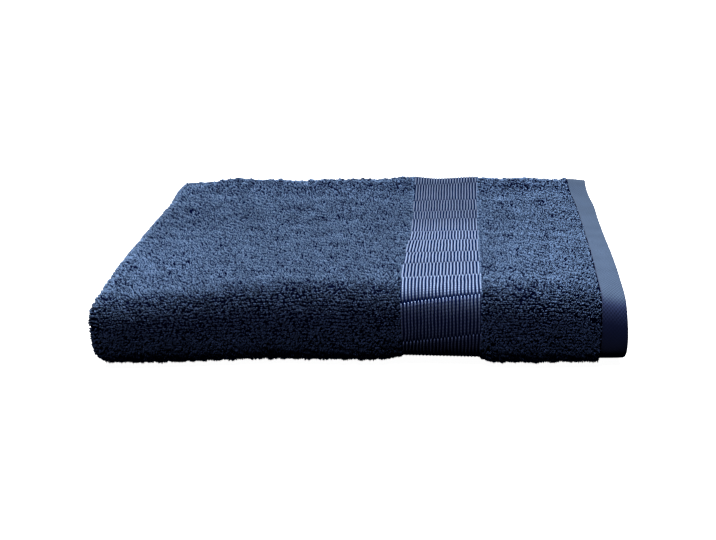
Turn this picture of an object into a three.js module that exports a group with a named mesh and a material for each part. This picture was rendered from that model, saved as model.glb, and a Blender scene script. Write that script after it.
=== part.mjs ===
// A cotton terry bath towel, 700 x 1400 mm, folded in four along its length and then in three across
// its width. Millimetres, +Z up. X runs along the towel's length and Y across it: the folded end is at
// -X, the hems are at +X, and the fold that shows faces -Y. The origin is on the ground, under the
// middle of the folded towel.
import * as THREE from "three";

// The folded towel
const width = 352;
const depth = 234;

// The cloth: terry has loops on both faces, and the hems and the woven borders have none
const terryThick = 4.1;
const bandThick = 2.1;
const hemThick = 2.5;
const hemWidth = 16;
const hemToBand = 79;
const bandWidth = 54.6;
const pileSlope = 1.5; // the loops lean over this much beside a flat strip
const bandSunk = 1.6; // a flat strip on the outside also sinks into the soft layers below it
const hemSunk = 1.8;

// Air between the layers
const layerGap = 0.9;
const packGap = 1.4;

// How far each end stays behind the outer hem, and the outer edge behind the back fold
const innerHemInset = 1.2;
const innerFoldInset = 4;
const selvedgeInset = 4;

// Fineness of the mesh
const endBendSteps = 6;
const tightBendSteps = 5;
const frontFoldSteps = 9;
const backFoldSteps = 8;
const plainColumns = 5; // columns of terry from the folded end to the border
const endColumns = 2; // and from the border to the hem

// Four layers make a pack, and three packs make the towel
const layerPitch = terryThick + layerGap;
const packHalf = 1.5 * layerPitch + terryThick / 2;
const packPitch = 2 * packHalf + packGap;
const height = 2 * packPitch + 2 * packHalf;

// Centres of the bends. The end bends turn in the section, and the folds turn along the path.
const hemEnd = width / 2;
const endBendX = -width / 2 + packHalf;
const innerFoldX = hemEnd - innerFoldInset - (layerPitch + terryThick) / 2;
const frontFoldY = -depth / 2 + height / 2;
const backFoldRadius = packPitch / 2;
const backFoldY = depth / 2 - backFoldRadius - packHalf;

// Levels of the layers in a pack, from its outside in, and of the packs above the ground
const layerLevels = [1.5, 0.5, -0.5, -1.5].map((i) => i * layerPitch);
const [outer, second, third, inner] = layerLevels;
const bottomPack = packHalf;
const middlePack = packHalf + packPitch;
const topPack = packHalf + 2 * packPitch;

// Where the flat stretches have corners along Y, the same in all three packs so that the gaps stay even.
// They are closer together over the ridge.
const ridgeY = 107;
const selvedgeY = depth / 2 - selvedgeInset;
const flatStations = [selvedgeY, ridgeY, backFoldY, 88, 78, 60, 30, 0, -30, -60, frontFoldY];

// Unevenness. A swell lifts what is at a place, in proportion to its height, so the underside stays
// flat. Its centre and spread are along X and Y, and a spread of Infinity runs right across.
const swells = [
  { name: "ridge over the back fold", x: 0, y: 107, spreadX: Infinity, spreadY: 17, rise: 7 },
  { name: "slope up to the ridge", x: 0, y: 88, spreadX: Infinity, spreadY: 38, rise: 2.6 },
  { name: "fuller ridge right of the border", x: 110, y: 108, spreadX: 50, spreadY: 18, rise: 1.1 },
  { name: "fuller ridge left of the border", x: 12, y: 110, spreadX: 14, spreadY: 16, rise: 1.2 },
  { name: "soft corner, back left", x: -176, y: 110, spreadX: 28, spreadY: 18, rise: -5 },
  { name: "hollow in the middle", x: 0, y: 8, spreadX: Infinity, spreadY: 42, rise: -1.5 },
  { name: "full front fold", x: -10, y: -88, spreadX: 70, spreadY: 30, rise: 0.5 },
  { name: "square shoulder", x: 0, y: -107, spreadX: Infinity, spreadY: 15, rise: 2.6 },
  { name: "square shoulder, front left", x: -135, y: -113, spreadX: 50, spreadY: 16, rise: 2 },
  { name: "soft corner, front left", x: -180, y: -120, spreadX: 80, spreadY: 125, rise: -11 },
  { name: "slack shoulder at the hem", x: 178, y: -120, spreadX: 27, spreadY: 45, rise: -7.5 },
  { name: "slack hem", x: 176, y: 50, spreadX: 30, spreadY: 40, rise: -0.8 },
  { name: "slack hem, back", x: 182, y: 110, spreadX: 14, spreadY: 25, rise: -1.3 },
];

// A sway shifts what is at a place sideways, along X and Y. Its place and spreads are along X, Y and Z.
const sways = [
  { name: "hem drawn in", at: [176, 98, 60], spreads: [40, 22, 50], shift: [-3.3, 0] },
  { name: "pile full beside the hem", at: [160, 20, 60], spreads: [11, 90, 40], shift: [2.6, 0] },
  { name: "pile set back beside the hem", at: [160, -118, 25], spreads: [11, 30, 30], shift: [-1.3, 0] },
  { name: "shoulder full", at: [0, -105, 52], spreads: [Infinity, 25, 20], shift: [0, -1.2] },
  { name: "shoulder full, right", at: [115, -105, 52], spreads: [65, 25, 20], shift: [0, -3.2] },
  { name: "shoulder full by the border", at: [5, -105, 52], spreads: [25, 25, 20], shift: [0, -2.8] },
  { name: "border drawn in", at: [27, 20, 60], spreads: [18, 45, 50], shift: [2.3, 0] },
  { name: "border drawn in, front", at: [27, -118, 35], spreads: [18, 30, 30], shift: [1.4, 0] },
  { name: "border drawn in, back", at: [27, 95, 60], spreads: [18, 40, 50], shift: [1.7, 0] },
  { name: "shoulder full, left", at: [-160, -105, 52], spreads: [50, 25, 20], shift: [0, -3.5] },
  { name: "back corner", at: [-176, 117, 60], spreads: [60, 30, 50], shift: [2, 0] },
  { name: "fold set back", at: [-60, -117, 10], spreads: [50, 40, 60], shift: [0, 3.5] },
  { name: "fold set back by the border", at: [22, -117, 10], spreads: [30, 40, 50], shift: [0, 1.5] },
  { name: "fold full, left", at: [-140, -117, 10], spreads: [40, 40, 40], shift: [0, -2] },
  { name: "fold full, right", at: [115, -117, 10], spreads: [45, 40, 40], shift: [0, -3] },
  { name: "left foot", at: [-176, -105, 8], spreads: [45, 40, 26], shift: [-3.5, 0] },
  { name: "left end spread", at: [-176, -38, 52], spreads: [45, 80, 20], shift: [-5.4, 0] },
  { name: "hem's foot", at: [176, -105, 12], spreads: [30, 40, 34], shift: [2.3, 0] },
];

const bell = (distance, spread) => Math.exp(-((distance / spread) ** 2));

function unevenly(point) {
  let lift = 0;
  for (const { x, y, spreadX, spreadY, rise } of swells) {
    lift += rise * bell(point.x - x, spreadX) * bell(point.y - y, spreadY);
  }
  let dx = 0;
  let dy = 0;
  for (const { at: [x, y, z], spreads: [spreadX, spreadY, spreadZ], shift } of sways) {
    const reach = bell(point.x - x, spreadX) * bell(point.y - y, spreadY) * bell(point.z - z, spreadZ);
    dx += shift[0] * reach;
    dy += shift[1] * reach;
  }
  return new THREE.Vector3(point.x + dx, point.y + dy, point.z * (1 + lift / height));
}

// Steps from a to b, both included
function between(a, b, steps) {
  return Array.from({ length: steps + 1 }, (_, i) => THREE.MathUtils.lerp(a, b, i / steps));
}

// A layer's corners in the section, from the folded end to its own end. Each has its x, its thickness
// and how far the cloth's middle sinks. A layer that ends in a hem has the flat border and the hem, and
// the others are terry throughout.
function layerColumns({ end, hemmed, sinks }) {
  const terry = (x) => ({ x, thick: terryThick, sunk: 0 });
  const flat = (x, thick, sunk) => ({ x, thick, sunk: sinks ? sunk : 0 });
  const hemStart = hemEnd - hemWidth;
  const bandEnd = hemStart - hemToBand;
  const bandStart = bandEnd - bandWidth;
  const columns = between(endBendX, bandStart - pileSlope, plainColumns).map(terry);
  if (hemmed) columns.push(flat(bandStart, bandThick, bandSunk), flat(bandEnd, bandThick, bandSunk));
  columns.push(...between(bandEnd + pileSlope, hemStart - pileSlope, endColumns).map(terry));
  if (hemmed) columns.push(flat(hemStart, hemThick, hemSunk), flat(end, hemThick, hemSunk));
  else columns.push(terry(end));
  return columns;
}

// One layer of the section as points on the cloth's middle. Side is where its first face looks: 1 out
// of the pack, -1 into it.
function layer(level, side, options) {
  return layerColumns(options).map(({ x, thick, sunk }) => ({
    middle: new THREE.Vector2(x, level - sunk),
    facing: new THREE.Vector2(0, side),
    thick,
  }));
}

// A bend of the cloth about a centre, without its two ends. Side is 1 where its first face is the
// outside of the bend.
function bend(x, level, radius, from, to, steps, side) {
  return between(from, to, steps)
    .slice(1, -1)
    .map((angle) => {
      const out = new THREE.Vector2(Math.cos(angle), Math.sin(angle));
      return {
        middle: new THREE.Vector2(x, level).addScaledVector(out, radius),
        facing: out.clone().multiplyScalar(side),
        thick: terryThick,
      };
    });
}

// The cloth's way through a pack: in at the outer hem, round the folded end to the innermost layer, back
// round the inner fold, round the folded end again and out at the second hem.
function clothOfPack() {
  const { PI } = Math;
  return [
    ...layer(outer, 1, { end: hemEnd, hemmed: true, sinks: true }).reverse(),
    ...bend(endBendX, 0, outer, 0.5 * PI, 1.5 * PI, endBendSteps, 1),
    ...layer(inner, -1, { end: innerFoldX }),
    ...bend(innerFoldX, (inner + third) / 2, layerPitch / 2, -0.5 * PI, 0.5 * PI, tightBendSteps, 1),
    ...layer(third, 1, { end: innerFoldX }).reverse(),
    ...bend(endBendX, 0, second, 1.5 * PI, 0.5 * PI, tightBendSteps, -1),
    ...layer(second, -1, { end: hemEnd - innerHemInset, hemmed: true }),
  ];
}

// The closed outline of a pack: out along the cloth's first face and home along the other. It turns left.
function packOutline() {
  const cloth = clothOfPack();
  const face = (side) =>
    cloth.map(({ middle, facing, thick }) => middle.clone().addScaledVector(facing, (side * thick) / 2));
  return [...face(1), ...face(-1).reverse()];
}

// A stretch of the path with the packs lying flat
function flatStretch(level, facing, from, to) {
  const low = Math.min(from, to);
  const high = Math.max(from, to);
  const stations = flatStations.filter((y) => y >= low && y <= high);
  if (to > from) stations.reverse();
  return stations.map((y) => ({ y, z: level, normalY: 0, normalZ: facing }));
}

// A fold of the path about a centre, without its two ends
function foldStretch(centreY, centreZ, radius, from, to, steps) {
  return between(from, to, steps)
    .slice(1, -1)
    .map((angle) => ({
      y: centreY + radius * Math.cos(angle),
      z: centreZ + radius * Math.sin(angle),
      normalY: Math.cos(angle),
      normalZ: Math.sin(angle),
    }));
}

// The path of the pack's middle: forward along the top, round the front, back along the ground, and
// round the back fold into the middle of the towel
function packPath() {
  const { PI } = Math;
  const backFoldZ = bottomPack + backFoldRadius;
  return [
    ...flatStretch(topPack, 1, selvedgeY, frontFoldY),
    ...foldStretch(frontFoldY, middlePack, packPitch, 0.5 * PI, 1.5 * PI, frontFoldSteps),
    ...flatStretch(bottomPack, -1, frontFoldY, backFoldY),
    ...foldStretch(backFoldY, backFoldZ, backFoldRadius, 1.5 * PI, 2.5 * PI, backFoldSteps),
    ...flatStretch(middlePack, 1, backFoldY, frontFoldY),
  ];
}

// A point of the outline at a station of the path
function carried(point, station) {
  const y = station.y + point.y * station.normalY;
  const z = station.z + point.y * station.normalZ;
  return unevenly(new THREE.Vector3(point.x, y, z));
}

// The solid: the outline carried along the path. X, the path's normal and its direction make a
// right-handed frame, so an outline that turns left gives faces that look out. Each square is split
// from its corner at low X and Y to the one at high X and Y, in every layer, so that layers that twist
// stay clear of each other. At both selvedges the cloth is closed straight across its thickness.
function towelGeometry() {
  const outline = packOutline();
  const path = packPath();
  const count = outline.length;
  const points = path.flatMap((station) => outline.map((point) => carried(point, station)));
  const triangles = [];
  for (let j = 0; j + 1 < path.length; j++) {
    for (let i = 0; i < count; i++) {
      const next = (i + 1) % count;
      const [a, b] = [j * count + i, j * count + next];
      const [c, d] = [b + count, a + count];
      const alongX = outline[next].x - outline[i].x;
      const alongY = path[j + 1].y - path[j].y;
      if (alongX * alongY > 0) triangles.push(a, b, c, a, c, d);
      else triangles.push(a, b, d, b, c, d);
    }
  }
  const last = (path.length - 1) * count;
  for (let a = 0; a + 1 < count / 2; a++) {
    const b = a + 1;
    const acrossA = count - 1 - a;
    const acrossB = count - 1 - b;
    triangles.push(a, acrossB, b, a, acrossA, acrossB);
    triangles.push(last + a, last + b, last + acrossB, last + a, last + acrossB, last + acrossA);
  }
  const geometry = new THREE.BufferGeometry().setFromPoints(points);
  geometry.setIndex(triangles);
  geometry.computeBoundingBox();
  const centre = geometry.boundingBox.getCenter(new THREE.Vector3());
  geometry.translate(-centre.x, -centre.y, -geometry.boundingBox.min.z);
  geometry.computeVertexNormals();
  return geometry;
}

const navyTerry = new THREE.MeshStandardMaterial({ color: 0x3d4f70, roughness: 0.95, metalness: 0 });

const towel = new THREE.Mesh(towelGeometry(), navyTerry);
towel.name = "towel";

const foldedTowel = new THREE.Group();
foldedTowel.add(towel);

export default foldedTowel;
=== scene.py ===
import bpy
import numpy as np
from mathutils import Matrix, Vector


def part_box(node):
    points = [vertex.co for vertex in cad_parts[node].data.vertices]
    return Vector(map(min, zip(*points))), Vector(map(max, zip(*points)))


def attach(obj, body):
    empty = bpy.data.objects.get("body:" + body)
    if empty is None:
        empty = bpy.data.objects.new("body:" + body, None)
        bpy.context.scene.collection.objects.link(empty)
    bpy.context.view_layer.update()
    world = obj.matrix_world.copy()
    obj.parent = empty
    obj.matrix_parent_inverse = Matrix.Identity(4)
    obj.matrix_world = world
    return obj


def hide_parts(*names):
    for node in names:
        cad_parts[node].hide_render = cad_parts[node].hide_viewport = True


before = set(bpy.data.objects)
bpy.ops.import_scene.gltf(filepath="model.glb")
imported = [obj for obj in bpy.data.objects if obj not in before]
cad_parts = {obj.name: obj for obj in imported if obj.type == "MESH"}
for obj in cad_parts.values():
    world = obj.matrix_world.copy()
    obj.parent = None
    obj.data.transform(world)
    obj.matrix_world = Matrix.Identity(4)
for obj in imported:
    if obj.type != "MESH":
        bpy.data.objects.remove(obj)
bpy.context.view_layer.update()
print("frame loaded")

mm = 0.001  # the towel is worked out in millimetres

# The folded towel, with the sizes of the solid that it replaces
cloth = {
    "width": 352,  # folded, along X
    "depth": 234,
    "terryThick": 4.1,  # with its loops on both faces
    "bandThick": 2.1,
    "hemThick": 2.5,
    "hemWidth": 16,
    "hemToBand": 79,
    "bandWidth": 54.6,
    "pileSlope": 1.5,  # the pile ends over this much beside a flat strip
    "bandSunk": 1.6,  # how far the outer layer is sunk at the border
    "hemSunk": 1.8,
    "footSunk": (0.8, 2.7),  # how far border and pile beside it are drawn in at the foot of the front
    "footReach": (7, 3.5),  # how far that reaches to the left and right of the border
    "footPlace": (15, 25),  # how far before the front's end it is strongest, and its spread
    "lumps": (0.2, 20),  # the outer layer's soft unevenness: height and wavelength
    "lumpsOnBorder": 0.4,  # the share of it on the border
    "lumpFade": (20, 10),  # over what length it fades towards the underside, and towards the inside
    "rimLumps": (0.5, 8),  # unevenness of the pile along the ridge and the foot: height and wavelength
    "rimRidge": (8, 20, -0.7),  # where that is strongest, its spread, and how much it stands out overall
    "rimFoot": (11, 7, 0.3),  # the same at the foot, with its place before the front's end
    "layerGap": 0.9,
    "packGap": 1.4,
    "innerHemInset": 1.2,
    "innerFoldInset": 4,
    "selvedgeInset": 4,
    "selvedgeWidth": 3.5,
    "selvedgeThick": 2.4,
    "selvedgeWave": (0.8, 0.9, 45),  # how far selvedges stray up and down, and inwards, and over what length
    "waveReach": 12,  # and how far that reaches in from the edge
    "flatSize": (0.7, 1.4),  # metres
}

# Places where the stack swells or sinks: centre, spread along X and Y, and rise in millimetres
swells = [
    dict(what="ridge over the back fold", x=0, y=107, spreadX=np.inf, spreadY=17, rise=7),
    dict(what="slope up to the ridge", x=0, y=88, spreadX=np.inf, spreadY=38, rise=2.6),
    dict(what="fuller ridge right of the border", x=110, y=108, spreadX=50, spreadY=18, rise=1.1),
    dict(what="fuller ridge left of the border", x=12, y=110, spreadX=14, spreadY=16, rise=1.2),
    dict(what="soft corner, back left", x=-176, y=110, spreadX=28, spreadY=18, rise=-5),
    dict(what="hollow in the middle", x=0, y=8, spreadX=np.inf, spreadY=42, rise=-1.5),
    dict(what="full front fold", x=-10, y=-88, spreadX=70, spreadY=30, rise=0.5),
    dict(what="square shoulder", x=0, y=-107, spreadX=np.inf, spreadY=15, rise=2.6),
    dict(what="square shoulder, front left", x=-135, y=-113, spreadX=50, spreadY=16, rise=2),
    dict(what="soft corner, front left", x=-180, y=-120, spreadX=80, spreadY=125, rise=-11),
    dict(what="slack shoulder at the hem", x=178, y=-120, spreadX=27, spreadY=45, rise=-7.5),
    dict(what="slack hem", x=176, y=50, spreadX=30, spreadY=40, rise=-0.8),
    dict(what="slack hem, back", x=182, y=110, spreadX=14, spreadY=25, rise=-1.3),
]

# Places that lie to one side: centre, spreads, and shift along X and Y
sways = [
    dict(what="hem drawn in", x=176, y=98, z=60, spreads=(40, 22, 50), dx=-3.3, dy=0),
    dict(what="pile full beside the hem", x=160, y=20, z=60, spreads=(11, 90, 40), dx=2.6, dy=0),
    dict(what="pile set back beside the hem", x=160, y=-118, z=25, spreads=(11, 30, 30), dx=-0.8, dy=0),
    dict(what="shoulder full", x=0, y=-105, z=52, spreads=(np.inf, 25, 20), dx=0, dy=-1.2),
    dict(what="shoulder full, right", x=115, y=-105, z=52, spreads=(65, 25, 20), dx=0, dy=-3.2),
    dict(what="shoulder full by the border", x=5, y=-105, z=52, spreads=(25, 25, 20), dx=0, dy=-2.8),
    dict(what="border drawn in", x=27, y=20, z=60, spreads=(18, 45, 50), dx=2.3, dy=0),
    dict(what="border drawn in, front", x=27, y=-118, z=35, spreads=(18, 30, 30), dx=1.4, dy=0),
    dict(what="border drawn in, back", x=27, y=95, z=60, spreads=(18, 40, 50), dx=1.7, dy=0),
    dict(what="shoulder full, left", x=-160, y=-105, z=52, spreads=(50, 25, 20), dx=0, dy=-3.5),
    dict(what="back corner", x=-176, y=117, z=60, spreads=(60, 30, 50), dx=2, dy=0),
    dict(what="fold set back", x=-60, y=-117, z=10, spreads=(50, 40, 60), dx=0, dy=3.5),
    dict(what="fold set back by the border", x=22, y=-117, z=10, spreads=(30, 40, 50), dx=0, dy=1.5),
    dict(what="fold full, left", x=-140, y=-117, z=10, spreads=(40, 40, 40), dx=0, dy=-2),
    dict(what="fold full, right", x=115, y=-117, z=10, spreads=(45, 40, 40), dx=0, dy=-3),
    dict(what="left foot", x=-176, y=-105, z=8, spreads=(45, 40, 26), dx=-3.5, dy=0),
    dict(what="left edge drawn in", x=-176, y=70, z=55, spreads=(40, 20, 40), dx=2.5, dy=0),
    dict(what="left end spread", x=-176, y=-38, z=52, spreads=(45, 80, 20), dx=-5.4, dy=0),
    dict(what="hem's foot", x=176, y=-105, z=12, spreads=(30, 40, 34), dx=2.3, dy=0),
]

layerPitch = cloth["terryThick"] + cloth["layerGap"]
packHalf = 1.5 * layerPitch + cloth["terryThick"] / 2
packPitch = 2 * packHalf + cloth["packGap"]
height = 2 * packPitch + 2 * packHalf
outer, second, third, inner = [i * layerPitch for i in (1.5, 0.5, -0.5, -1.5)]
bottomPack, middlePack, topPack = [packHalf + i * packPitch for i in range(3)]

hemEnd = cloth["width"] / 2
hemStart = hemEnd - cloth["hemWidth"]
bandEnd = hemStart - cloth["hemToBand"]
bandStart = bandEnd - cloth["bandWidth"]
endBendX = packHalf - hemEnd
innerFoldX = hemEnd - cloth["innerFoldInset"] - (layerPitch + cloth["terryThick"]) / 2
innerHemEnd = hemEnd - cloth["innerHemInset"]
frontFoldY = (height - cloth["depth"]) / 2
backFoldRadius = packPitch / 2
backFoldY = cloth["depth"] / 2 - backFoldRadius - packHalf
selvedgeY = cloth["depth"] / 2 - cloth["selvedgeInset"]


def straight(a, b, facing):  # from a to b, with the cloth's first face looking along facing
    return np.array([[*a, *facing], [*b, *facing]])


# An arc: centre plus radius times (cos, sin). The first face looks out, or in with side -1.
def turning(centre, radius, start, stop, side=1, count=33):
    angle = np.linspace(start, stop, count) * np.pi
    out = np.stack([np.cos(angle), np.sin(angle)], 1)
    return np.hstack([np.array(centre) + radius * out, side * out])


def walkedTo(points):  # the length walked up to each point
    return np.concatenate([[0], np.cumsum(np.linalg.norm(np.diff(points, axis=0), axis=1))])


def lineTable(*stretches):  # the corners of a line, with the length walked up to each
    rows = np.vstack(stretches)
    return walkedTo(rows[:, :2]), rows


def follow(line, walked):  # place and facing after so much of the line
    return [np.interp(walked, line[0], column) for column in line[1].T]


# The cloth's way through a pack of four layers, as x and level: from the outer hem to the inner one
section = lineTable(
    straight((hemEnd, outer), (endBendX, outer), (0, 1)),
    turning((endBendX, 0), outer, 0.5, 1.5),
    straight((endBendX, inner), (innerFoldX, inner), (0, -1)),
    turning((innerFoldX, (inner + third) / 2), layerPitch / 2, -0.5, 0.5),
    straight((innerFoldX, third), (endBendX, third), (0, 1)),
    turning((endBendX, 0), second, 1.5, 0.5, side=-1),
    straight((endBendX, second), (innerHemEnd, second), (0, -1)),
)
outerRun = hemEnd - endBendX
bendEnd = outerRun + np.pi * outer
innerEnd = bendEnd + innerFoldX - endBendX
foldEnd = innerEnd + np.pi * layerPitch / 2
thirdEnd = foldEnd + innerFoldX - endBendX
clothLength = section[0][-1]
secondRun = innerHemEnd - endBendX

# The pack's way through the towel, as y and z: along the top, round the front, back along the ground
# and round the back fold into the middle
path = lineTable(
    straight((selvedgeY, topPack), (frontFoldY, topPack), (0, 1)),
    turning((frontFoldY, middlePack), packPitch, 0.5, 1.5),
    straight((frontFoldY, bottomPack), (backFoldY, bottomPack), (0, -1)),
    turning((backFoldY, bottomPack + backFoldRadius), backFoldRadius, 1.5, 2.5),
    straight((backFoldY, middlePack), (frontFoldY, middlePack), (0, 1)),
)
topEnd = selvedgeY - frontFoldY
frontEnd = topEnd + np.pi * packPitch
bottomEnd = frontEnd + backFoldY - frontFoldY
backEnd = bottomEnd + np.pi * backFoldRadius
pathLength = path[0][-1]


def bell(distance, spread):  # 1 at the centre, fading as e to the minus square
    return np.exp(-((distance / spread) ** 2))


def ramp(value, start, stop):  # 0 before start and 1 after stop, with an even S between
    share = np.clip((value - start) / (stop - start), 0, 1)
    return share * share * (3 - 2 * share)


# Smooth unevenness, mostly between -1 and 1: a sum of waves in many directions, near one wavelength
def drift(u, v, wavelength, seed, waves=9, shortest=0.7, longest=1.5):
    rng = np.random.default_rng(seed)
    angle = rng.uniform(0, 2 * np.pi, waves)
    size = 2 * np.pi / (wavelength * rng.uniform(shortest, longest, waves))
    phase = rng.uniform(0, 2 * np.pi, waves)
    total = sum(np.sin((u * np.cos(a) + v * np.sin(a)) * k + p) for a, k, p in zip(angle, size, phase))
    return total / np.sqrt(waves)


# Each swell lifts in proportion to height, and each sway shifts sideways, both as bells
def unevenly(x, y, z):
    x, y, z = np.broadcast_arrays(x, y, z)
    lift = 0
    for swell in swells:
        reach = bell(x - swell["x"], swell["spreadX"]) * bell(y - swell["y"], swell["spreadY"])
        lift = lift + swell["rise"] * reach
    dx, dy = 0, 0
    for sway in sways:
        spreadX, spreadY, spreadZ = sway["spreads"]
        reach = bell(x - sway["x"], spreadX) * bell(y - sway["y"], spreadY) * bell(z - sway["z"], spreadZ)
        dx, dy = dx + sway["dx"] * reach, dy + sway["dy"] * reach
    return np.stack([x + dx, y + dy, z * (1 + lift / height)], -1)


# Shares of hem and border at a place: 1 on the flat strip, fading over the pile's slope
def flatShares(s):
    x = follow(section, s)[0]
    slope = cloth["pileSlope"]
    hemmed = (s < outerRun) | (s > clothLength - secondRun)
    hem = hemmed * ramp(x, hemStart - slope, hemStart)
    band = hemmed * (ramp(x, bandStart - slope, bandStart) - ramp(x, bandEnd, bandEnd + slope))
    return hem, band


# How far the outer layer sinks: the flat strips between the pile, less where the ridge draws them tight,
# and border and pile at the foot of the front
def sunkOf(x, t, hem, band):
    tight = 1 - border["ridgeFlush"] * bell(t, border["ridgeReach"])
    left, right = cloth["footReach"]
    beside = np.where(x < bandStart, bell(x - bandStart, left), bell(np.maximum(x - bandEnd, 0), right))
    bandFoot, pileFoot = cloth["footSunk"]
    beforeEnd, spread = cloth["footPlace"]
    foot = (band * bandFoot + (1 - band) * beside * pileFoot) * bell(t - frontEnd + beforeEnd, spread)
    return tight * (cloth["hemSunk"] * hem + cloth["bandSunk"] * band) + foot


# Soft lumps of the outside: low ones all over, and shorter ones of the pile along the ridge and the foot
def lumpsOf(s, t, hem, band):
    lump, wavelength = cloth["lumps"]
    under, inside = cloth["lumpFade"]
    outside = (1 - ramp(t, frontEnd - under, frontEnd) + ramp(t, bottomEnd, bottomEnd + inside)
               - ramp(t, backEnd - inside, backEnd))
    outside = outside * (1 - ramp(s, bendEnd - under, bendEnd)) * (1 - (1 - cloth["lumpsOnBorder"]) * band)
    rimLump, rimWave = cloth["rimLumps"]
    bumpy = drift(s, t, rimWave, seed=52)
    ridgeAt, ridgeSpread, ridgeOut = cloth["rimRidge"]
    footAt, footSpread, footOut = cloth["rimFoot"]
    rim = (bell(t - ridgeAt, ridgeSpread) * (bumpy + ridgeOut)
           + bell(t - frontEnd + footAt, footSpread) * (bumpy + footOut))
    rim = rim * (1 - band) * (1 - hem) * (s < outerRun)
    return lump * outside * drift(s, t, wavelength, seed=51) + rimLump * rim


# A point of the cloth: s along the section, t along the path, and off from the cloth's middle
def carry(s, t, off):
    x, level, faceX, faceLevel = follow(section, s)
    rise, inwards, length = cloth["selvedgeWave"]
    byEdge = bell(t, cloth["waveReach"])
    level = level + rise * byEdge * drift(s, 0 * t, length, seed=61)
    y, z, upY, upZ = follow(path, t + inwards * byEdge * (1 + drift(s, 0 * t, length, seed=62)))
    hem, band = flatShares(s)
    off = off + lumpsOf(s, t, hem, band)
    level = level - (s < outerRun) * sunkOf(x, t, hem, band) + faceLevel * off
    return unevenly(x + faceX * off, y + level * upY, z + level * upZ) + shift


# The loops of the pile
pile = {
    "height": 1.15,  # of the loops above the ground weave
    "loopPitch": 1.28,  # along the towel's length
    "rowPitch": 1.26,
    "loopLength": 1.95,
    "loopWidth": 1.1,
    "sizes": (1.02, 0.28),  # in the middle, and how far each loop's may be from it
    "jitter": 0.45,  # how far loops stray from their places, as a share of the pitch
    "calm": 0.1,  # how much more even the loops are on the front fold, where rows show
    "rowed": 0.4,  # how much less they stray across their rows there
    "paired": 0.12,  # and how much closer each two rows lie, as a share of the pitch
    "frontFrom": (-5, 15),  # where rows begin to show, from the start of the front fold
    "margin": 6,  # loops thin out over this much where the cloth runs out of sight
    "lead": (2, 4),  # and are full this much before the underside, and before the folded end
    "edgeDepth": 9,  # and this far in from the selvedge between the layers
    "leastCover": 0.4,  # where they are fewer than this share, there are none
    "wander": (0.45, 14),  # how far a row strays from straight, in rows, and over what length
    "turn": (0.4, 9),  # radians, patch by patch, and the patches' length
    "turnEach": 0.4,  # radians, loop by loop
    "lean": (0.1, 11),  # patch by patch, and the patches' length
    "leanEach": 0.35,  # loop by loop
    "speckle": (0.09, 0.2),  # how much loops differ in tone, and how much more they do on the front, where the extra is painted glints of sheen
    "clouds": (0.05, 30),  # how much patches differ in tone, and their length
    "tufts": (0.3, 4.5),  # loops are higher and lower by patches: how much, and over what length
    "missing": 0.07,  # share of loops that are pressed down
    "missingPatches": ((1.5, 3), (0.7, 25)),  # how unevenly, and over what lengths
    "edgeFull": (0.25, 2.5),  # how much bigger the loops are beside the flat strips, and how far in
    "overEdge": (0.7, 0.8),  # how far loops reach over a flat strip, and how unevenly
    "floorGap": 0.05,  # no loop reaches lower than this above the ground
    "nubPitch": 1.6,  # of the bump that stands in for loops out of sight
}

# Patches of painted light and painted shade on the pile, standing in for how the light falls there: centre,
# spread, and how much lighter
paintedLightPatches = [
    dict(what="left end", x=-165, y=-40, spreadX=55, spreadY=55, tone=0.4),
    dict(what="right of the border", x=125, y=-10, spreadX=55, spreadY=150, tone=0.26),
    dict(what="over the ridge", x=0, y=110, spreadX=np.inf, spreadY=36, tone=0.44),
    dict(what="along the front", x=0, y=-72, spreadX=np.inf, spreadY=28, tone=0.08),
    dict(what="crest by the hem", x=130, y=-104, spreadX=40, spreadY=10, tone=0.14),
    dict(what="front left", x=-150, y=-122, spreadX=45, spreadY=12, tone=-0.34),
]

# The ribbed border
border = {
    "ribs": 23,
    "ribWidth": 1.22,
    "ribHeight": 0.9,
    "ribLift": 0.1,  # a rib's middle lies above the ground weave by this share of its height
    "ribSides": 6,
    "ribSteps": 15,
    "ribBlunt": 10,  # the higher this is, the blunter the ends
    "bow": 0.25,  # ribs bow a little, to one side and the other by turns
    "waver": (0.1, 9),  # and waver: how far, and over what length
    "ply": 1.6,  # the yarn's twist shows as light and dark at this pitch
    "toneEach": 0.07,  # how much ribs differ in tone
    "fullColour": 0.5,  # ribs have their full colour above this share of their height, and the groove's painted shade as far below
    "firstRow": (0.5, 15.7),  # from the selvedge to its start and its end
    "rows": (25.7, 21.2, 15.0, 25.5, 19.0, 26.1, 21.7, 25.7, 25.6, 28.7),  # uneven, as the cloth was drawn
    "otherRows": (21.9, 25.4) * 9,  # row lengths past these
    "rowGap": -1.0,  # rows reach between each other
    "selvedgeGap": 0.4,  # no rib starts closer to the selvedge
    "unseen": (3, 25, 5),  # no rows from so far past the front to so far before the back fold, or past that
    "ridgeTone": (0.55, 65, 115),  # painted shade dulls ribs near the ridge: tone, and from where to where that fades
    "frontTone": (0.65, 8, 16),  # and painted shade on the front, from so far past the start of the fold
    "crestTone": (0.28, 10, 6),  # they have a painted highlight where they bend over the front: how much, where, spread
    "frontRows": (-8, 25),  # where rows start that part there, and the last start of the upper one
    "foldGap": 1.3,  # by this much
    "frontStart": (1.4, 0.8, 1.2),  # each rib there stands higher near its start: how much, where, spread
    "startTone": (0.58, 0.8, 1.7),  # and has a painted highlight
    "startUnshaded": 2,  # and is free of the front's painted shade for this much
    "lowerStart": 0.4,  # all three are less in the lower row, by this share
    "footFlat": (0.65, 22, 10),  # ribs are flatter at the foot: how much, from and to how far before its end
    "ridgeFlush": 0.85,  # the band isn't sunk where it is drawn tight over the ridge
    "ridgeReach": 45,
}

# How far the border's rows run back towards the hem, as a share of the way across, by place along the path
slants = dict(at=[0, 140, 194, 213, 235, 265], slant=[0.055, 0.055, 0.15, 0.105, 0.12, 0.12])

shift = np.zeros(3)  # until placeTowel has worked it out


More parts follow.
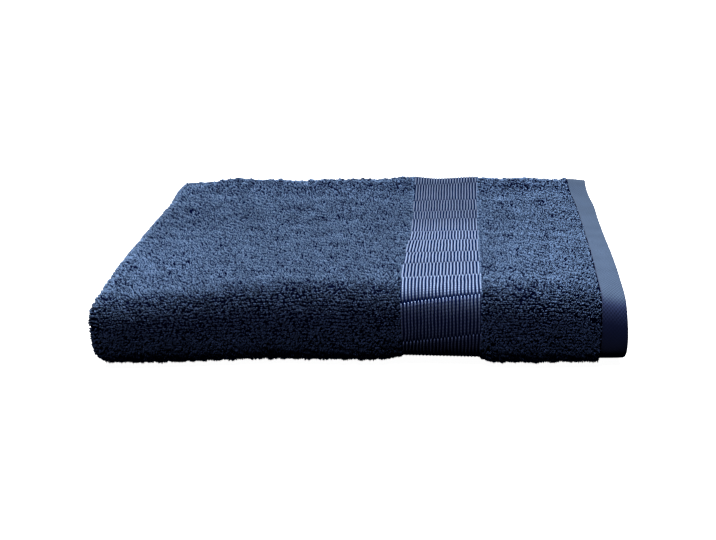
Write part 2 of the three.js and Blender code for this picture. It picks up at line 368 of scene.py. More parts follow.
def piled(s, t, side=1):  # 1 where a face has modelled loops, 0 where it is out of sight
    far = pile["margin"]
    beforeUnder, beforeBend = pile["lead"]
    edge = 1 - ramp(t, pile["edgeDepth"], pile["edgeDepth"] + far) + 0 * s
    if side < 0:
        return edge
    front = 1 - ramp(t, frontEnd - beforeUnder, frontEnd + far)
    back = ramp(t, bottomEnd - far, bottomEnd + beforeUnder) - ramp(t, backEnd, backEnd + far)
    atBend = ramp(s, outerRun - beforeBend, outerRun) * (1 - ramp(s, bendEnd, bendEnd + far))
    atFold = ramp(s, innerEnd - far, innerEnd) * (1 - ramp(s, foldEnd, foldEnd + far))
    return np.maximum.reduce([(s < outerRun) * (front + back), atBend + 0 * t, atFold + 0 * t, edge])


def roundEdge(distance, radius, blunt=0.3):  # a half-round edge, blunt at the very end
    share = np.clip(distance / radius, 0, 1)
    return blunt + (1 - blunt) * np.sqrt(1 - (1 - share) ** 2)


# How far a face lies from the cloth's middle: half the thickness, less the loops where they are modelled
def faceOffset(s, t, side):
    hem, band = flatShares(s)
    half = cloth["terryThick"] / 2 - pile["height"] * piled(s, t, side)
    half = half + band * (cloth["bandThick"] / 2 - half)
    half = half + hem * (cloth["hemThick"] / 2 - half)
    bare = 1 - ramp(t, cloth["selvedgeWidth"], cloth["selvedgeWidth"] + cloth["pileSlope"])
    half = half + bare * (np.minimum(half, cloth["selvedgeThick"] / 2) - half)
    edge = roundEdge(np.minimum(s, clothLength - s), cloth["hemThick"] / 2)
    return side * half * edge * roundEdge(np.minimum(t, pathLength - t), cloth["selvedgeThick"] / 2)


# The shift that puts the towel where its solid is, by the box of both
def placeTowel(columns=900, rows=400):
    s = np.linspace(0, clothLength, columns)[None, :]
    t = np.linspace(0, pathLength, rows)[:, None]
    half = cloth["terryThick"] / 2
    points = np.concatenate([carry(s, t, half), carry(s, t, -half)]).reshape(-1, 3)
    low, high = [np.array(corner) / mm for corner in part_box("towel")]
    middle = (low + high) / 2 - (points.min(0) + points.max(0)) / 2
    return np.array([middle[0], middle[1], low[2] - points[:, 2].min()])


shift = placeTowel()
print("towel placed, shift", np.round(shift, 2))


def toLinear(hexCode):  # an sRGB hex value as linear light
    value = np.array([int(hexCode[i:i + 2], 16) for i in (1, 3, 5)]) / 255
    linear = np.where(value <= 0.04045, value / 12.92, ((value + 0.055) / 1.055) ** 2.4)
    return (*linear.tolist(), 1.0)


# Adds a node with its settings. Inputs are values, or sockets to link from, by name or as in0, in1 and so on.
def addNode(tree, kind, settings=None, **inputs):
    node = tree.nodes.new(kind)
    for name, value in (settings or {}).items():
        setattr(node, name, value)
    for name, value in inputs.items():
        numbered = name.startswith("in") and name[2:].isdigit()
        socket = node.inputs[int(name[2:])] if numbered else node.inputs[name]
        if isinstance(value, bpy.types.NodeSocket):
            tree.links.new(value, socket)
        else:
            socket.default_value = value
    return node


def newMaterial(name):  # an empty material, and its node tree
    material = bpy.data.materials.new(name)
    material.use_nodes = True
    material.node_tree.nodes.clear()
    return material, material.node_tree


# Colours of the navy cotton, as sRGB hex values
yarn = {
    "crown": "#607896",  # where a loop catches the light
    # painted shade deep in the pile, down at a loop's roots
    "root": "#07143C",
    # painted shade between the loops, on the ground weave
    "ground": "#030720",
    "flat": "#4A5B73",
    "flatShade": "#36445A",
    "flatUprightShade": "#293258",  # painted shade on the flat weave where it stands upright, away from the light
    "rib": "#7F92B4",
    # painted shade in the grooves and on each rib's underside
    "grooveShade": "#16264A",
    "sheenTint": "#CCDAE2",
}

# How the cotton is finished
finish = {
    "roughness": 0.9,
    "sheenRoughness": 0.45,
    "loopSheen": 0.08,
    "hemSheen": 0.3,
    "plyTones": (0.6, 1.25),
    "nubBump": (0.8, 0.8),  # depth in millimetres, and strength
    "weaveStrength": 0.8,
    "bandWeave": (1.1, 0.2),  # thread pitch and depth of the bump, in millimetres
    "hemWeave": (2.3, 0.25),  # both are coarser than the real weave, which is too fine to show
    "upright": 0.77,  # flat cloth has its deepest painted shade where its normal's upward part is below this
    "level": 0.98,  # and is painted lit in full above this
    "crownLead": 0.09,  # crowns of threads stay painted lit as if they were this much more level
    # the share of the lit colour left in the deepest painted shade
    "leastLit": 0.17,
    "wornPatch": 18,  # millimetres
    "wornNoise": (0.25, 0.75),  # the noise lies mostly between these
    "wornTones": (0.88, 1.12),
    "ridgeToFrontShade": (0.77, 1.01),  # painted shade on flat cloth: its tone at the ridge and at the start of the front fold
}


# Cotton, carded and soft spun: short fibres stand off the yarn, which gives no gloss but a pale sheen
def cottonShader(tree, colour, sheen=0.0, **more):
    shader = addNode(tree, "ShaderNodeBsdfPrincipled", **{
        "Base Color": colour, "Roughness": finish["roughness"], "Specular IOR Level": 0.0,
        "Sheen Weight": sheen, "Sheen Roughness": finish["sheenRoughness"],
        "Sheen Tint": toLinear(yarn["sheenTint"]), **more})
    addNode(tree, "ShaderNodeOutputMaterial", Surface=shader.outputs["BSDF"])


# Loops of ring-spun cotton, dyed navy: each has its own tone, and painted shade darkens it from the crown
# down to the root, so the pile looks deep and soft. A plied yarn is also darker and lighter by turns, as its
# twist shows.
def loopCotton(name, root, crown, ply=None):
    material, tree = newMaterial(name)
    tone = addNode(tree, "ShaderNodeAttribute", {"attribute_name": "tone"}).outputs["Fac"]
    depth = addNode(tree, "ShaderNodeAttribute", {"attribute_name": "depth"}).outputs["Fac"]
    # painted shade: the root's colour at the foot of the loop, the crown's at its top
    colour = addNode(
        tree, "ShaderNodeMix", {"data_type": "RGBA"}, in0=depth, in6=toLinear(root), in7=toLinear(crown))
    bright = addNode(
        tree, "ShaderNodeVectorMath", {"operation": "SCALE"}, in0=colour.outputs[2], in3=tone).outputs[0]
    if ply:
        walked = addNode(tree, "ShaderNodeAttribute", {"attribute_name": "walked"}).outputs["Fac"]
        angle = addNode(tree, "ShaderNodeMath", {"operation": "MULTIPLY"}, in0=walked, in1=2 * np.pi / ply)
        wave = addNode(tree, "ShaderNodeMath", {"operation": "SINE"}, in0=angle.outputs[0]).outputs[0]
        dark, light = finish["plyTones"]
        level = addNode(tree, "ShaderNodeMapRange", in0=wave, in1=-1.0, in2=1.0, in3=dark, in4=light)
        bright = addNode(
            tree, "ShaderNodeVectorMath", {"operation": "SCALE"}, in0=bright, in3=level.outputs[0]).outputs[0]
    cottonShader(tree, bright, finish["loopSheen"])
    return material


loopMaterial = loopCotton("terryLoopCotton", yarn["root"], yarn["crown"])
ribMaterial = loopCotton("borderRibCotton", yarn["grooveShade"], yarn["rib"], ply=border["ply"])


# The cotton ground weave, painted nearly black between the loops as their shade, and the pile on faces that
# no loops are modelled on, where a nubby bump stands in for them at about the same pitch, with painted shade
# between the nubs
def groundCotton():
    material, tree = newMaterial("terryGroundCotton")
    place = addNode(tree, "ShaderNodeTexCoord").outputs["Object"]
    covered = addNode(tree, "ShaderNodeAttribute", {"attribute_name": "covered"}).outputs["Fac"]
    scale = 1 / (pile["nubPitch"] * mm)
    nubs = addNode(tree, "ShaderNodeTexVoronoi", Vector=place, Scale=scale).outputs["Distance"]
    crown, root, ground = [toLinear(yarn[part]) for part in ("crown", "root", "ground")]
    # painted shade between the nubs: the crown's colour on each nub, the root's between them
    nubby = addNode(tree, "ShaderNodeMix", {"data_type": "RGBA"}, in0=nubs, in6=crown, in7=root).outputs[2]
    colour = addNode(tree, "ShaderNodeMix", {"data_type": "RGBA"}, in0=covered, in6=nubby, in7=ground)
    bumpDepth, strength = finish["nubBump"]
    bump = addNode(
        tree, "ShaderNodeBump", {"invert": True}, Height=nubs, Distance=bumpDepth * mm, Strength=strength)
    cottonShader(tree, colour.outputs[2], Normal=bump.outputs[0])
    return material


# Plain weave of fine two-ply cotton: threads cross at the pitch, here drawn as two crossed waves. Its level
# parts are painted lit and its upright parts painted in shade, the crowns of the threads staying lit a little
# further down the folds, it has painted shade towards the ridge, and it is a little worn in patches, so it
# looks less even than new cloth.
def flatCotton(name, weaveSize, dark, light, deep, sheen):
    material, tree = newMaterial(name)
    threads, bumpDepth = weaveSize
    place = addNode(tree, "ShaderNodeUVMap", {"uv_map": "clothMap"}).outputs[0]
    apart = addNode(tree, "ShaderNodeSeparateXYZ", Vector=place)
    waves = []
    for axis, size in ((0, cloth["flatSize"][1]), (1, cloth["flatSize"][0])):
        turns = 2 * np.pi * size / (threads * mm)
        angle = addNode(tree, "ShaderNodeMath", {"operation": "MULTIPLY"}, in0=apart.outputs[axis], in1=turns)
        waves.append(addNode(tree, "ShaderNodeMath", {"operation": "SINE"}, in0=angle.outputs[0]).outputs[0])
    crossed = addNode(tree, "ShaderNodeMath", {"operation": "MULTIPLY"}, in0=waves[0], in1=waves[1])
    weave = addNode(
        tree, "ShaderNodeMapRange", in0=crossed.outputs[0], in1=-1.0, in2=1.0, in3=0.0, in4=1.0).outputs[0]
    woven = addNode(
        tree, "ShaderNodeMix", {"data_type": "RGBA"}, in0=weave, in6=toLinear(dark), in7=toLinear(light))
    normal = addNode(tree, "ShaderNodeNewGeometry").outputs["Normal"]
    upward = addNode(tree, "ShaderNodeSeparateXYZ", Vector=normal).outputs["Z"]
    uneven = addNode(
        tree, "ShaderNodeMath", {"operation": "MULTIPLY_ADD"}, in0=weave, in1=finish["crownLead"], in2=upward)
    # painted light on level parts and painted shade on upright ones, by how far the normal points up
    litShare = addNode(
        tree, "ShaderNodeMapRange", in0=uneven.outputs[0], in1=finish["upright"], in2=finish["level"],
        in3=finish["leastLit"], in4=1.0)
    colour = addNode(
        tree, "ShaderNodeMix", {"data_type": "RGBA"}, in0=litShare.outputs[0], in6=toLinear(deep),
        in7=woven.outputs[2]).outputs[2]
    spot = addNode(tree, "ShaderNodeTexCoord").outputs["Object"]
    cloud = addNode(tree, "ShaderNodeTexNoise", Vector=spot, Scale=1 / (finish["wornPatch"] * mm), Detail=3.0)
    low, high = finish["wornNoise"]
    least, most = finish["wornTones"]
    worn = addNode(
        tree, "ShaderNodeMapRange", in0=cloud.outputs["Fac"], in1=low, in2=high, in3=least, in4=most)
    # painted shade towards the ridge, fading out by the start of the front fold
    atRidge, atFront = finish["ridgeToFrontShade"]
    across = addNode(
        tree, "ShaderNodeMapRange", in0=apart.outputs[1], in1=0.0, in2=topEnd / pathLength, in3=atRidge,
        in4=atFront)
    for share in (worn, across):
        colour = addNode(
            tree, "ShaderNodeVectorMath", {"operation": "SCALE"}, in0=colour, in3=share.outputs[0]).outputs[0]
    bump = addNode(
        tree, "ShaderNodeBump", Height=weave, Distance=bumpDepth * mm, Strength=finish["weaveStrength"])
    cottonShader(tree, colour, sheen, Normal=bump.outputs[0])
    return material


groundMaterial = groundCotton()
# The border's ground weave is painted in shade between the ribs, in the near-black and the groove's colours
bandMaterial = flatCotton(
    "borderGroundCotton", finish["bandWeave"], yarn["ground"], yarn["grooveShade"], yarn["root"], sheen=0)
hemMaterial = flatCotton(
    "hemPlainWeaveCotton", finish["hemWeave"], yarn["flatShade"], yarn["flat"], yarn["flatUprightShade"],
    finish["hemSheen"])
print("materials made")


# Puts points and faces of one size into a mesh object, with numbers for each point as attributes
def makePiece(name, points, faces, materials, values):
    mesh = bpy.data.meshes.new(name)
    mesh.vertices.add(len(points))
    mesh.vertices.foreach_set("co", (points * mm).astype(np.float32).ravel())
    mesh.loops.add(faces.size)
    mesh.loops.foreach_set("vertex_index", faces.astype(np.int32).ravel())
    mesh.polygons.add(len(faces))
    mesh.polygons.foreach_set("loop_start", np.arange(0, faces.size, faces.shape[1], dtype=np.int32))
    mesh.update(calc_edges=True)
    mesh.polygons.foreach_set("use_smooth", np.full(len(faces), True))
    for key, numbers in values.items():
        mesh.attributes.new(key, "FLOAT", "POINT").data.foreach_set("value", numbers.astype(np.float32))
    for material in materials:
        mesh.materials.append(material)
    piece = bpy.data.objects.new(name, mesh)
    bpy.context.scene.collection.objects.link(piece)
    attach(piece, "root")
    print(name, len(faces), "faces")
    return piece


# Spacing of the sheet's points
clothMesh = {
    "seen": 3.0,
    "inner": 6.0,
    "hidden": 14.0,
    "bend": 1.4,
    "frontFold": 2.24,
    "fromEdge": (0.08, 0.3, 0.7, 1.25),  # more points this far in from each edge
    "onSlope": (0, 0.5, 1),  # and at these shares of each slope from the pile to a flat strip
    "hemFrom": 0.5,  # share of a flat strip from which a face has its material
    "bandFrom": 0.9,
}


def stations(marks, steps, extra):  # even steps between the marks, with extra places added
    parts = []
    for start, stop, step in zip(marks, marks[1:], steps):
        parts.append(np.linspace(start, stop, max(2, round((stop - start) / step) + 1)))
    return np.unique(np.round(np.concatenate([*parts, extra]), 4))


# The ground weave as one closed sheet: both faces of the section carried along the path
def buildCloth():
    fine, coarse, tight = clothMesh["seen"], clothMesh["hidden"], clothMesh["bend"]
    edge = np.array(clothMesh["fromEdge"])
    slope = np.array(clothMesh["onSlope"]) * cloth["pileSlope"]
    flats = [hemEnd - bandEnd - slope, hemEnd - bandStart + slope, hemEnd - hemStart + slope]
    s = stations(
        [0, outerRun, bendEnd, innerEnd, foldEnd, thirdEnd, clothLength - secondRun, clothLength],
        [fine, tight, coarse, tight, coarse, tight, clothMesh["inner"]],
        np.concatenate([edge, clothLength - edge, *flats]))
    t = stations(
        [0, topEnd, frontEnd, bottomEnd, backEnd, pathLength],
        [fine, clothMesh["frontFold"], coarse, tight, coarse],
        np.concatenate([edge, pathLength - edge, cloth["selvedgeWidth"] + slope]))
    rows = t[:, None]
    first = carry(s[None, :], rows, faceOffset(s[None, :], rows, 1))
    last = carry(s[None, :], rows, faceOffset(s[None, :], rows, -1))
    grid = np.concatenate([first, last[:, ::-1]], 1)
    count = grid.shape[1]
    i = np.arange(count)
    j = np.arange(len(t) - 1)[:, None]
    following = (i + 1) % count
    here, beyond = j * count, (j + 1) * count
    body = np.stack([here + i, here + following, beyond + following, beyond + i], -1)
    front = np.arange(len(s) - 1)
    back = count - 1 - front
    start = np.stack([front, back, back - 1, front + 1], -1)
    end = start[:, ::-1] + (len(t) - 1) * count
    faces = np.concatenate([body.reshape(-1, 4), start, end])
    covered = np.concatenate([piled(s, rows), piled(s[::-1], rows, -1)], 1)
    materials = [groundMaterial, bandMaterial, hemMaterial]
    piece = makePiece("towelCloth", grid.reshape(-1, 3), faces, materials, {"covered": covered.ravel()})
    mesh = piece.data
    along = np.concatenate([s, s[::-1]])
    u = np.tile(along / clothLength, len(t))
    v = np.repeat(t / pathLength, count)
    layer = mesh.uv_layers.new(name="clothMap")
    layer.data.foreach_set("uv", np.stack([u, v], 1)[faces.ravel()].astype(np.float32).ravel())
    middleS = (along[i] + along[following]) / 2
    hem, band = flatShares(middleS)
    terrySlot, bandSlot, hemSlot = range(len(materials))
    slots = np.where(band > clothMesh["bandFrom"], bandSlot, terrySlot)
    slots = np.where(hem > clothMesh["hemFrom"], hemSlot, slots)
    bareRows = (t[:-1] + t[1:]) / 2 < cloth["selvedgeWidth"]
    bodySlots = np.where(bareRows[:, None], hemSlot, slots[None, :])
    endSlots = np.full(len(start) + len(end), hemSlot)
    allSlots = np.concatenate([bodySlots.ravel(), endSlots])
    mesh.polygons.foreach_set("material_index", allSlots.astype(np.int32))
    return piece


towelCloth = buildCloth()


# Places at equal real distances, as measured on the face
def evenly(start, stop, pitch, measure, count=1500):
    fine = np.linspace(start, stop, count)
    walked = walkedTo(measure(fine))
    return np.interp(np.arange(pitch / 2, walked[-1], pitch), walked, fine)


def onFront(t):  # 1 on the front fold
    start, stop = pile["frontFrom"]
    return ramp(t, topEnd + start, topEnd + stop) * (t < bottomEnd)


# Where loops are rooted: rows along the towel's length that wander, every second one set over by half
def loopSpots(area, rng):
    reach = cloth["terryThick"] / 2 * area["side"]
    (s0, s1), (t0, t1) = area["s"], area["t"]
    columns = evenly(s0, s1, pile["loopPitch"], lambda s: carry(s, np.full_like(s, (t0 + t1) / 2), reach))
    rows = evenly(t0, t1, pile["rowPitch"], lambda t: carry(np.full_like(t, (s0 + s1) / 2), t, reach))
    s, t = np.meshgrid(columns, rows)
    stepS, stepT = np.gradient(columns)[None, :], np.gradient(rows)[:, None]
    front = onFront(t)
    jitter = pile["jitter"] * (1 - pile["calm"] * front)
    odd = (np.arange(len(rows)) % 2)[:, None]
    s = s + stepS * (0.5 * odd + rng.uniform(-1, 1, s.shape) * jitter)
    across = jitter * (1 - pile["rowed"] * front) * rng.uniform(-1, 1, t.shape)
    stray, length = pile["wander"]
    t = t + stepT * (across + pile["paired"] * front * (1 - 2 * odd) + stray * drift(s, t, length, seed=3))
    return s.ravel(), t.ravel()


# The spots that keep their loop: not far over a flat strip, not pressed down and not out of sight. With
# them goes how calm the pile is there and how far over a flat strip they lie.
def keptSpots(area, rng):
    s, t = loopSpots(area, rng)
    x = follow(section, s)[0]
    onBand = np.minimum(x - bandStart, bandEnd - x)
    onFlat = np.maximum(x - hemStart, onBand) * ((s < outerRun) | (s > thirdEnd))
    calm = 1 - pile["calm"] * onFront(t)
    (fine, fineLength), (broad, broadLength) = pile["missingPatches"]
    patchy = fine * drift(s, t, fineLength, seed=17) + broad * drift(s, t, broadLength, seed=18)
    thin = pile["missing"] * calm * np.exp(patchy)
    most, unevenEdge = pile["overEdge"]
    keep = onFlat < most + unevenEdge * rng.uniform(-1, 1, s.shape)
    keep &= rng.uniform(0, 1, s.shape) > thin
    keep &= piled(s, t, area["side"]) > pile["leastCover"]
    keep &= (t > cloth["selvedgeWidth"]) & (s > 0) & (s < clothLength)
    return s[keep], t[keep], calm[keep], onFlat[keep]


# Each loop's tone: patches of painted light and painted shade make it lighter or darker, and it differs patch
# by patch and loop by loop
def loopTones(s, t, x, y, rng):
    paintedLight = 0
    for lightPatch in paintedLightPatches:
        near = bell(x - lightPatch["x"], lightPatch["spreadX"]) * bell(y - lightPatch["y"], lightPatch["spreadY"])
        paintedLight = paintedLight + lightPatch["tone"] * near
    everywhere, atFront = pile["speckle"]
    cloud, length = pile["clouds"]
    # the extra speckle on the front is painted glints of sheen
    uneven = (everywhere + atFront * onFront(t)) * rng.normal(size=s.shape)
    return (1 + paintedLight) * (1 + uneven + cloud * drift(s, t, length, seed=31))


# One loop, as shares of its length, width and height: two roots in the ground weave, and between them
# the crown, both sides and the underside
loopPoints = np.array([
    [-0.5, 0, -0.3], [0.5, 0, -0.3], [0, 0, 1.0], [0, 0, -0.4], [0, -0.5, 0.3], [0, 0.5, 0.3]])
loopFaces = np.array([
    [0, 4, 2], [4, 1, 2], [1, 5, 2], [5, 0, 2], [4, 0, 3], [1, 4, 3], [5, 1, 3], [0, 5, 3]])


# Loops over an area: each is the one loop, turned, leaned and sized on the face's own directions
def growLoops(name, areas, seed):
    rng = np.random.default_rng(seed)
    allPoints, tones = [], []
    for area in areas:
        s, t, calm, onFlat = keptSpots(area, rng)
        off = faceOffset(s, t, area["side"])
        root = carry(s, t, off)
        step = 0.5
        alongS = carry(s + step, t, off) - carry(s - step, t, off)
        alongT = carry(s, t + step, off) - carry(s, t - step, off)
        alongS /= np.linalg.norm(alongS, axis=1, keepdims=True)
        up = np.cross(alongS, alongT) * area["side"]
        up /= np.linalg.norm(up, axis=1, keepdims=True)
        alongT = np.cross(up, alongS)
        turned, length = pile["turn"]
        turn = calm * (turned * drift(s, t, length, seed=11) + pile["turnEach"] * rng.normal(size=s.shape))
        usual, differs = pile["sizes"]
        size = usual + differs * calm * rng.uniform(-1, 1, s.shape)
        fuller, reach = pile["edgeFull"]
        size *= 1 + fuller * bell(np.minimum(onFlat, 0), reach)
        lean, length = pile["lean"]
        leanS = lean * drift(s, t, length, seed=21) + pile["leanEach"] * rng.normal(size=s.shape)
        leanT = lean * drift(s, t, length, seed=22) + pile["leanEach"] * rng.normal(size=s.shape)
        tuft, length = pile["tufts"]
        tall = pile["height"] * size * (1 + tuft * drift(s, t, length, seed=23))
        along = loopPoints[:, 0] * (pile["loopLength"] * size)[:, None]
        across = loopPoints[:, 1] * (pile["loopWidth"] * size)[:, None]
        above = loopPoints[:, 2] * tall[:, None]
        raised = np.clip(loopPoints[:, 2], 0, 1)
        cos, sin = np.cos(turn)[:, None], np.sin(turn)[:, None]
        onS = along * cos - across * sin + leanS[:, None] * raised
        onT = along * sin + across * cos + leanT[:, None] * raised
        points = root[:, None, :] + onS[..., None] * alongS[:, None, :] + onT[..., None] * alongT[:, None, :]
        allPoints.append(points + above[..., None] * up[:, None, :])
        tones.append(loopTones(s, t, root[:, 0], root[:, 1], rng))
    points = np.concatenate(allPoints)
    points[..., 2] = np.maximum(points[..., 2], pile["floorGap"])
    tone = np.repeat(np.concatenate(tones), len(loopPoints))
    # how far up each point lies, for the painted shade that darkens the loop towards its roots
    depth = np.tile(np.clip(loopPoints[:, 2], 0, 1), len(points))
    faces = loopFaces[None] + np.arange(len(points))[:, None, None] * len(loopPoints)
    values = {"tone": tone, "depth": depth}
    return makePiece(name, points.reshape(-1, 3), faces.reshape(-1, 3), [loopMaterial], values)


# The piece that each stretch of pile belongs to: from where to where along the section and the path, and
# on which face. It runs on a little where the cloth turns out of sight, and stops short of the inner end.
runOn = {"pastFront": 3, "pastFold": 4, "beforeEnd": 2}
rightSpan = (cloth["hemWidth"] + cloth["pileSlope"], hemEnd - bandEnd)
leftSpan = (hemEnd - bandStart, outerRun)
pileStart, pileEnd = cloth["selvedgeWidth"], pathLength - runOn["beforeEnd"]
topMiddle = topEnd / 2
frontStop = frontEnd + runOn["pastFront"]
backSpan = (bottomEnd - runOn["pastFold"], backEnd + runOn["pastFold"])
bendStop = bendEnd + runOn["pastFold"]
foldStart, foldStop = innerEnd - runOn["pastFold"], foldEnd + runOn["pastFold"]
selvedgePile = (cloth["selvedgeWidth"], pile["edgeDepth"])
loopAreas = {
    "terryTopBack": [dict(s=leftSpan, t=(pileStart, topMiddle), side=1)],
    "terryTopFront": [dict(s=leftSpan, t=(topMiddle, topEnd), side=1)],
    "terryFrontFold": [dict(s=leftSpan, t=(topEnd, frontStop), side=1)],
    "terryByHem": [dict(s=rightSpan, t=(pileStart, frontStop), side=1)],
    "terryBackFold": [dict(s=leftSpan, t=backSpan, side=1), dict(s=rightSpan, t=backSpan, side=1)],
    "terryFoldedEnd": [dict(s=(outerRun, bendStop), t=(pileStart, pileEnd), side=1)],
    "terryInnerFold": [dict(s=(foldStart, foldStop), t=(pileStart, pileEnd), side=1)],
    "terrySelvedge": [
        dict(s=(bendStop, foldStart), t=selvedgePile, side=1),
        dict(s=(foldStop, clothLength), t=selvedgePile, side=1),
        dict(s=(0, clothLength), t=selvedgePile, side=-1)],
}
loopPieces = [growLoops(name, areas, seed) for seed, (name, areas) in enumerate(loopAreas.items(), 100)]


# Where rows of ribs end on the path, when their lengths are walked along the border's own face
def rowEnds(middle, samples=3000):
    fine = np.linspace(0, pathLength, samples)
    walked = walkedTo(carry(middle, fine, cloth["bandThick"] / 2))
    firstStart, firstStop = border["firstRow"]
    ends = firstStop + np.concatenate([[0], np.cumsum(border["rows"] + border["otherRows"])])
    return np.interp(np.concatenate([[firstStart], ends[ends < walked[-1]]]), walked, fine)


# For each rib its place on the section, its start and end on the path, the side that it bows to, how far it
# is parted at the front, and its tone. Every second row is set over by half a rib.
def ribSpots(ends, rng):
    pitch = cloth["bandWidth"] / border["ribs"]
    pastFront, beforeBack, pastBack = border["unseen"]
    upperStart, upperStop = border["frontRows"]
    differs = border["toneEach"]
    spots = []
    for row, (t0, t1) in enumerate(zip(ends, ends[1:])):
        if frontEnd + pastFront < t0 < bottomEnd - beforeBack or t0 > backEnd + pastBack:
            continue
        front = 0
        if topEnd + upperStart < t0 < frontEnd:
            front = 1 if t0 < topEnd + upperStop else border["lowerStart"]
        t0 = t0 + border["rowGap"] / 2 + front * border["foldGap"]
        t1 = t1 - border["rowGap"] / 2
        side = row % 2 - 0.5
        for rib in range(border["ribs"]):
            s = hemEnd - bandStart - pitch * (0.5 + 0.5 * side + rib)
            spots.append((s, t0, t1, side, front, rng.uniform(1 - differs, 1 + differs)))
    return [column[:, None, None] for column in np.array(spots).T]


# A rib's tone along its length: painted shade by the ridge and down the front, and painted highlights where
# it bends over the front and where it starts after a parting
def ribPaintedLight(t, fromStart, front):
    shadedTone, start, stop = border["ridgeTone"]
    tone = shadedTone + (1 - shadedTone) * ramp(t, start, stop)
    shadedTone, start, stop = border["frontTone"]
    unshaded = front * bell(fromStart, border["startUnshaded"])
    tone = tone * (1 - (1 - shadedTone) * ramp(t, topEnd + start, topEnd + stop) * (1 - unshaded))
    lighter, place, spread = border["startTone"]
    bright = 1 + lighter * front * bell(fromStart - place, spread)
    lighter, place, spread = border["crestTone"]
    return tone * (bright + lighter * bell(t - topEnd - place, spread))


# The border's ribs: each is a tube, flattened and pointed at both ends, carried along the path
def buildRibs(seed=7):
    middle = hemEnd - (bandStart + bandEnd) / 2
    s, t0, t1, side, front, tone = ribSpots(rowEnds(middle), np.random.default_rng(seed))
    around = np.linspace(0, 2 * np.pi, border["ribSides"], endpoint=False)
    share = 0.5 - 0.5 * np.cos(np.linspace(0, np.pi, border["ribSteps"]))[:, None]
    taper = np.sqrt(np.clip(1 - np.abs(2 * share - 1) ** border["ribBlunt"], 0, 1))
    t = t0 + (t1 - t0) * share
    t = np.maximum(t + np.interp(t, slants["at"], slants["slant"]) * (s - middle), border["selvedgeGap"])
    s = s + border["bow"] * side * np.sin(np.pi * share)
    fromStart = (t1 - t0) * share
    flatter, start, stop = border["footFlat"]
    foot = 1 - flatter * ramp(t, frontEnd - start, frontEnd - stop)
    higher, place, spread = border["frontStart"]
    raised = 1 + higher * front * bell(fromStart - place, spread)
    wide = border["ribWidth"] / 2 * taper * np.cos(around)
    tall = border["ribHeight"] * taper * (np.sin(around) + border["ribLift"]) * foot * raised
    stray, length = border["waver"]
    onS = s + wide + stray * drift(s, t, length, seed=41)
    points = carry(onS, t + 0 * onS, cloth["bandThick"] / 2 + tall)
    ribs, along, ring = points.shape[:3]
    k = np.arange(ribs)[:, None, None] * along * ring
    i = np.arange(along - 1)[None, :, None] * ring
    j = np.arange(ring)[None, None, :]
    nextJ = (j + 1) % ring
    faces = np.stack([k + i + j, k + i + ring + j, k + i + ring + nextJ, k + i + nextJ], -1).reshape(-1, 4)
    values = {
        "tone": np.repeat((tone * ribPaintedLight(t, fromStart, front)).ravel(), ring),
        # painted shade on each rib's underside: the groove's colour below, the full colour above
        "depth": np.clip(np.tile(np.sin(around), ribs * along) + border["fullColour"], 0, 1),
        "walked": np.repeat((fromStart + 0 * t).ravel(), ring),
    }
    return makePiece("borderRibs", points.reshape(-1, 3), faces, [ribMaterial], values)


borderRibs = buildRibs()

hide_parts("towel")
print("towel dressed")

# The studio, in metres
studio = {
    "floorSize": 12,
    "floorColour": "#F4F4F2",
    "floorRoughness": 0.9,
    "white": "#FFFFFF",
    "floorGlow": 0.98,
    "skyLight": 0.006,
    "skyColour": "#7C82FF",
}

# A large softbox above and behind, and a weak one above the front
softboxes = {
    "keySoftbox": {"power": 125, "size": (1.7, 1.1), "place": (0.0, 0.92, 1.89), "colour": "#FFFFFF"},
    "frontSoftbox": {"power": 5.5, "size": (0.3, 0.25), "place": (-0.1, -0.85, 1.2), "colour": "#E4E0FF"},
}


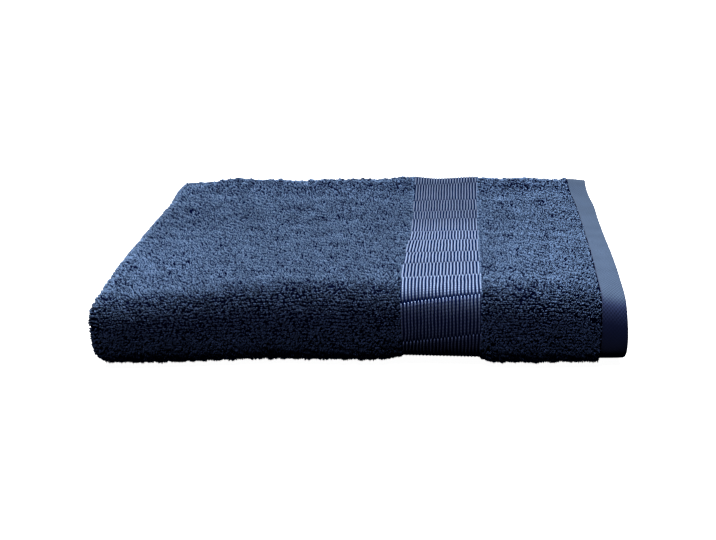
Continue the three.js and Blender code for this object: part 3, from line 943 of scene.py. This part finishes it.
# A flat square with matt white paint, rolled on: its chalk scatters light evenly, so it shows no highlight.
# It also glows, so that it stays plain white from every side, but it lights nothing.
def layFloor():
    half = studio["floorSize"] / 2
    mesh = bpy.data.meshes.new("floor")
    corners = [(-half, -half, 0), (half, -half, 0), (half, half, 0), (-half, half, 0)]
    mesh.from_pydata(corners, [], [(0, 1, 2, 3)])
    floor = bpy.data.objects.new("floor", mesh)
    bpy.context.scene.collection.objects.link(floor)
    material, tree = newMaterial("paleFloorPaint")
    shader = addNode(tree, "ShaderNodeBsdfPrincipled", **{
        "Base Color": toLinear(studio["floorColour"]), "Roughness": studio["floorRoughness"],
        "Emission Color": toLinear(studio["white"]), "Emission Strength": studio["floorGlow"]})
    addNode(tree, "ShaderNodeOutputMaterial", Surface=shader.outputs["BSDF"])
    mesh.materials.append(material)
    floor.visible_diffuse = False
    floor.visible_glossy = False


def hangSoftboxes():  # each faces the towel's place on the floor
    for name, box in softboxes.items():
        light = bpy.data.lights.new(name, "AREA")
        light.shape = "RECTANGLE"
        light.size, light.size_y = box["size"]
        light.energy = box["power"]
        light.color = toLinear(box["colour"])[:3]
        lamp = bpy.data.objects.new(name, light)
        lamp.location = box["place"]
        lamp.rotation_euler = (-lamp.location).to_track_quat("-Z", "Y").to_euler()
        bpy.context.scene.collection.objects.link(lamp)


def setSky():  # seen as white, and nearly dark as a light
    world = bpy.data.worlds.new("studio")
    bpy.context.scene.world = world
    world.use_nodes = True
    tree = world.node_tree
    tree.nodes.clear()
    seen = addNode(tree, "ShaderNodeLightPath").outputs["Is Camera Ray"]
    sky, white = toLinear(studio["skyColour"]), toLinear(studio["white"])
    asLight = addNode(tree, "ShaderNodeBackground", Color=sky, Strength=studio["skyLight"])
    asSeen = addNode(tree, "ShaderNodeBackground", Color=white, Strength=1.0)
    mixed = addNode(tree, "ShaderNodeMixShader", in0=seen, in1=asLight.outputs[0], in2=asSeen.outputs[0])
    addNode(tree, "ShaderNodeOutputWorld", Surface=mixed.outputs[0])
    bpy.context.scene.view_settings.view_transform = "Standard"
    bpy.context.scene.view_settings.look = "None"


layFloor()
hangSoftboxes()
setSky()

# The camera: its lens and sensor in millimetres, and its place in metres
view = {
    "lens": 48.95,
    "sensor": 36,
    "place": (0.0693, -0.6879, 0.3163),
    "pitch": 22.65,  # degrees below level
    "shiftX": -0.1446,
}
camera = bpy.data.cameras.new("camera")
camera.lens = view["lens"]
camera.sensor_width = view["sensor"]
camera.shift_x = view["shiftX"]
cameraObject = bpy.data.objects.new("camera", camera)
cameraObject.location = view["place"]
cameraObject.rotation_euler = (np.radians(90 - view["pitch"]), 0, 0)
bpy.context.scene.collection.objects.link(cameraObject)
bpy.context.scene.camera = cameraObject
print("studio and camera set")
